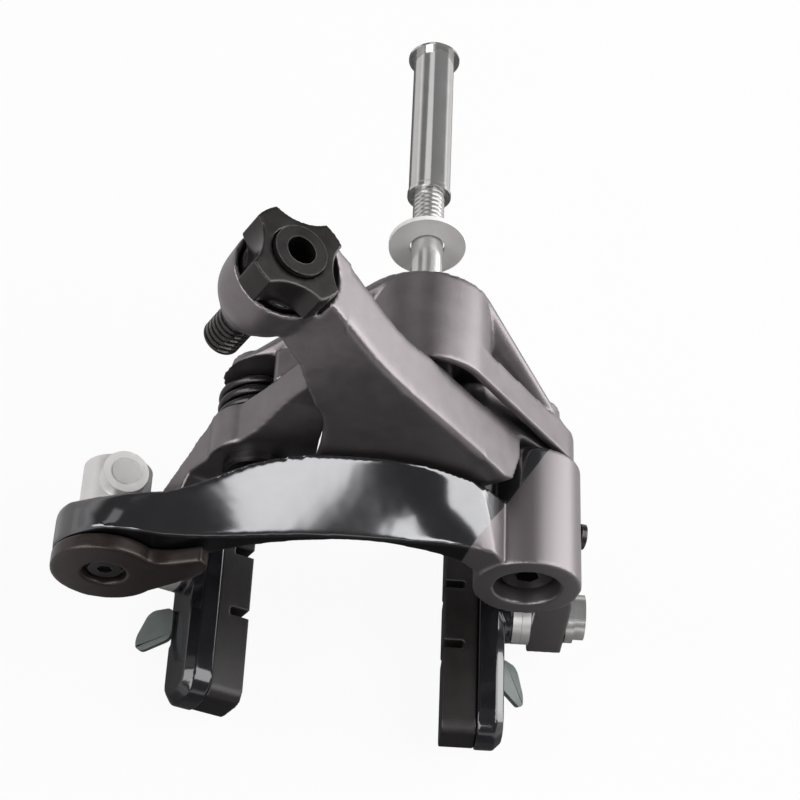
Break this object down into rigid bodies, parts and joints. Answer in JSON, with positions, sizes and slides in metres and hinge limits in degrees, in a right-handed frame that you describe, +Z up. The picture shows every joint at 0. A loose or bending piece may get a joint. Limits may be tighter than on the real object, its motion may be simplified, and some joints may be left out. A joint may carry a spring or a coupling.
{
  "type": "rim brake caliper",
  "caption": "Dual pivot rim brake caliper for a bicycle, with two swinging arms, cartridge shoes, a barrel adjuster and a quick-release lever.",
  "frame": {"origin": "where the axis of the mounting bolt meets the rear face of the bracket", "axes": "+X to the right and +Y to the rear as seen from in front of the brake, +Z up; the mounting bolt points along +Y"},
  "size_m": [0.1073, 0.1256, 0.0985],
  "materials": {
    "satin_grey": "matte dark grey anodised",
    "gloss_black": "glossy black",
    "satin_black": "satin black",
    "steel": "bright plated steel",
    "dark_steel": "black oxide",
    "spring_steel": "dark oiled wire",
    "bronze": "sintered",
    "plastic": "moulded",
    "pad_rubber": "matte friction compound",
    "guide_grey": "grey pressed sheet",
    "silver": "polished"
  },
  "bodies": {
    "bracket": {"bracket": "satin_grey", "centre_bolt": "steel", "right_pivot_bolt": "dark_steel", "left_pivot_bolt": "dark_steel", "thrust_washers": "plastic", "left_return_spring": "spring_steel"},
    "right_arm": {"right_arm": "gloss_black", "right_hub_bush": "bronze", "right_spring_cup": "plastic", "right_return_spring": "spring_steel"},
    "centring_screw": {"centring_screw": "dark_steel"},
    "left_arm": {"left_arm": "satin_grey", "left_hub_bush": "bronze", "roller_pin": "steel"},
    "roller": {"roller": "steel"},
    "link_arm": {"link_arm": "satin_grey", "link_bush": "bronze"},
    "adjuster_knob": {"adjuster_knob": "satin_black"},
    "adjusting_bolt": {"adjusting_bolt": "satin_black"},
    "quick_release": {"release_lever": "satin_black", "release_shaft": "steel", "release_bolt": "dark_steel"},
    "cable_anchor": {"cable_anchor": "silver", "cable_clamp_screw": "steel"},
    "right_shoe": {"right_brake_pad": "pad_rubber", "right_shoe_holder": "gloss_black", "right_wheel_guide": "guide_grey", "right_outer_washer": "steel", "right_shoe_bolt": "steel", "right_convex_washer": "silver", "right_concave_washer": "silver"},
    "left_shoe": {"left_brake_pad": "pad_rubber", "left_shoe_holder": "gloss_black", "left_wheel_guide": "guide_grey", "left_outer_washer": "steel", "left_shoe_bolt": "steel", "left_convex_washer": "silver", "left_concave_washer": "silver"},
    "mounting_washer": {"mounting_washer": "silver"},
    "recessed_nut": {"recessed_nut": "steel"}
  },
  "joints": [
    {"name": "right_arm_pivot", "type": "hinge", "parent": "bracket", "child": "right_arm", "pos_m": [0.026, -0.03, -0.019], "axis": [0, 1, 0], "range_deg": [0, 10.75], "stiffness_Nm_per_rad": 0.3, "springref_deg": -45.84},
    {"name": "left_arm_pivot", "type": "hinge", "parent": "bracket", "child": "left_arm", "pos_m": [-0.026, -0.024, -0.019], "axis": [0, -1, 0], "range_deg": [0, 15], "stiffness_Nm_per_rad": 0.3, "springref_deg": -45.84},
    {"name": "link_arm_pivot", "type": "hinge", "parent": "bracket", "child": "link_arm", "pos_m": [0.026, -0.016, -0.019], "axis": [0, -1, 0], "range_deg": [0, 15]},
    {"name": "roller_spin", "type": "hinge", "parent": "left_arm", "child": "roller", "pos_m": [-0.0182, -0.0227, 0.0062], "axis": [0, 1, 0], "continuous": true},
    {"name": "centring_screw_turn", "type": "hinge", "parent": "right_arm", "child": "centring_screw", "pos_m": [0.036, -0.0315, -0.019], "axis": [1, 0, 0], "range_deg": [-180, 180]},
    {"name": "adjuster_knob_turn", "type": "hinge", "parent": "link_arm", "child": "adjuster_knob", "pos_m": [-0.038, -0.02, 0.009], "axis": [0.2706, 0, 0.9627], "range_deg": [0, 2160]},
    {"name": "adjusting_bolt_lift", "type": "slide", "parent": "link_arm", "child": "adjusting_bolt", "axis": [0.2706, 0, 0.9627], "range_m": [0, 0.006]},
    {"name": "quick_release_turn", "type": "hinge", "parent": "right_arm", "child": "quick_release", "pos_m": [-0.05, -0.047, -0.0305], "axis": [0, -1, 0], "range_deg": [0, 90]},
    {"name": "cable_anchor_turn", "type": "hinge", "parent": "quick_release", "child": "cable_anchor", "pos_m": [-0.04965, -0.031, -0.03247], "axis": [0, -1, 0], "range_deg": [-90, 0]},
    {"name": "right_shoe_slide", "type": "slide", "parent": "right_arm", "child": "right_shoe", "axis": [-0.1994, 0, 0.9799], "range_m": [-0.0015, 0.006]},
    {"name": "left_shoe_slide", "type": "slide", "parent": "left_arm", "child": "left_shoe", "axis": [0.2756, 0, 0.9613], "range_m": [-0.0015, 0.002]},
    {"name": "mounting_washer_slide", "type": "slide", "parent": "bracket", "child": "mounting_washer", "axis": [0, 1, 0], "range_m": [-0.012, 0.009]},
    {"name": "recessed_nut_slide", "type": "slide", "parent": "bracket", "child": "recessed_nut", "axis": [0, 1, 0], "range_m": [-0.009, 0.045]}
  ],
  "couplings": [
    {"joint": "left_arm_pivot", "follows": "right_arm_pivot", "ratio": 1.3913},
    {"joint": "link_arm_pivot", "follows": "right_arm_pivot", "ratio": 1.3913},
    {"joint": "adjusting_bolt_lift", "follows": "adjuster_knob_turn", "m_per_rad": 0.00015915},
    {"joint": "cable_anchor_turn", "follows": "quick_release_turn", "ratio": -1}
  ]
}
